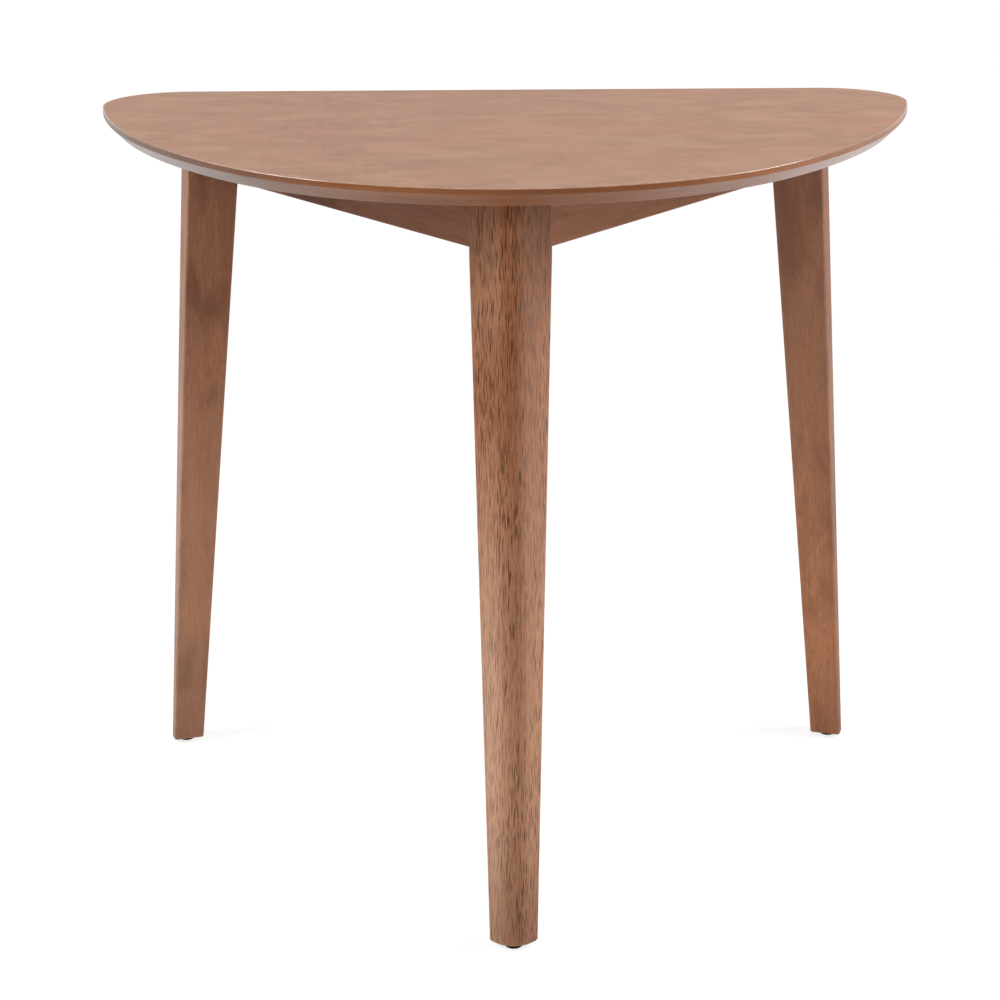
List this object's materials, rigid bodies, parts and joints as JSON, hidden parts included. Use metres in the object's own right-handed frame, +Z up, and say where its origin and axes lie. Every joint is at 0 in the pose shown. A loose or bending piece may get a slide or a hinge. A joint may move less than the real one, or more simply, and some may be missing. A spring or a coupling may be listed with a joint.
{
  "type": "corner table",
  "caption": "Small table with a straight back edge and a bowed front, an undercut edge, and splayed, tapered legs joined by aprons, corner blocks and hanger bolts.",
  "frame": {"origin": "on the floor, in the middle of the whole table's width and of its depth from the nose to the back feet", "axes": "+Z up; +X along the straight back edge; +Y from the nose over the front leg towards the straight back edge"},
  "size_m": [0.848, 0.5672, 0.75],
  "materials": {
    "face_veneer": "satin lacquer over pinkish tan veneer, grain from side to side",
    "backing_veneer": "thin lacquer over a plain balancing veneer",
    "stained_core": "stained and lacquered edge",
    "stained_wood": "satin brown stain with open pores",
    "plain_wood": "planed and unfinished",
    "zinc": "zinc plated",
    "black_plastic": "plain moulded"
  },
  "bodies": {
    "root": {"apron_back": "stained_wood", "apron_left": "stained_wood", "apron_right": "stained_wood", "apron_screw_back_1": "zinc", "apron_screw_back_2": "zinc", "apron_screw_left_1": "zinc", "apron_screw_right_1": "zinc", "block_screw_back_left_1": "zinc", "block_screw_back_left_2": "zinc", "block_screw_back_right_1": "zinc", "block_screw_back_right_2": "zinc", "block_screw_front_1": "zinc", "block_screw_front_2": "zinc", "corner_block_back_left": "plain_wood", "corner_block_back_right": "plain_wood", "corner_block_front": "plain_wood", "flat_washer_back_left_lower": "zinc", "flat_washer_back_left_upper": "zinc", "flat_washer_back_right_lower": "zinc", "flat_washer_back_right_upper": "zinc", "flat_washer_front_lower": "zinc", "flat_washer_front_upper": "zinc", "glide_back_left": "black_plastic", "glide_back_right": "black_plastic", "glide_front": "black_plastic", "glide_nail_back_left": "zinc", "glide_nail_back_right": "zinc", "glide_nail_front": "zinc", "hanger_bolt_back_left_lower": "zinc", "hanger_bolt_back_left_upper": "zinc", "hanger_bolt_back_right_lower": "zinc", "hanger_bolt_back_right_upper": "zinc", "hanger_bolt_front_lower": "zinc", "hanger_bolt_front_upper": "zinc", "leg_back_left": "stained_wood", "leg_back_right": "stained_wood", "leg_front": "stained_wood", "nut_back_left_lower": "zinc", "nut_back_left_upper": "zinc", "nut_back_right_lower": "zinc", "nut_back_right_upper": "zinc", "nut_front_lower": "zinc", "nut_front_upper": "zinc", "spring_washer_back_left_lower": "zinc", "spring_washer_back_left_upper": "zinc", "spring_washer_back_right_lower": "zinc", "spring_washer_back_right_upper": "zinc", "spring_washer_front_lower": "zinc", "spring_washer_front_upper": "zinc", "top_backing_veneer": "backing_veneer", "top_core": "stained_core", "top_face_veneer": "face_veneer", "top_screw_back_left_1": "zinc", "top_screw_back_left_2": "zinc", "top_screw_back_right_1": "zinc", "top_screw_back_right_2": "zinc", "top_screw_front_1": "zinc", "top_screw_front_2": "zinc"}
  },
  "joints": []
}
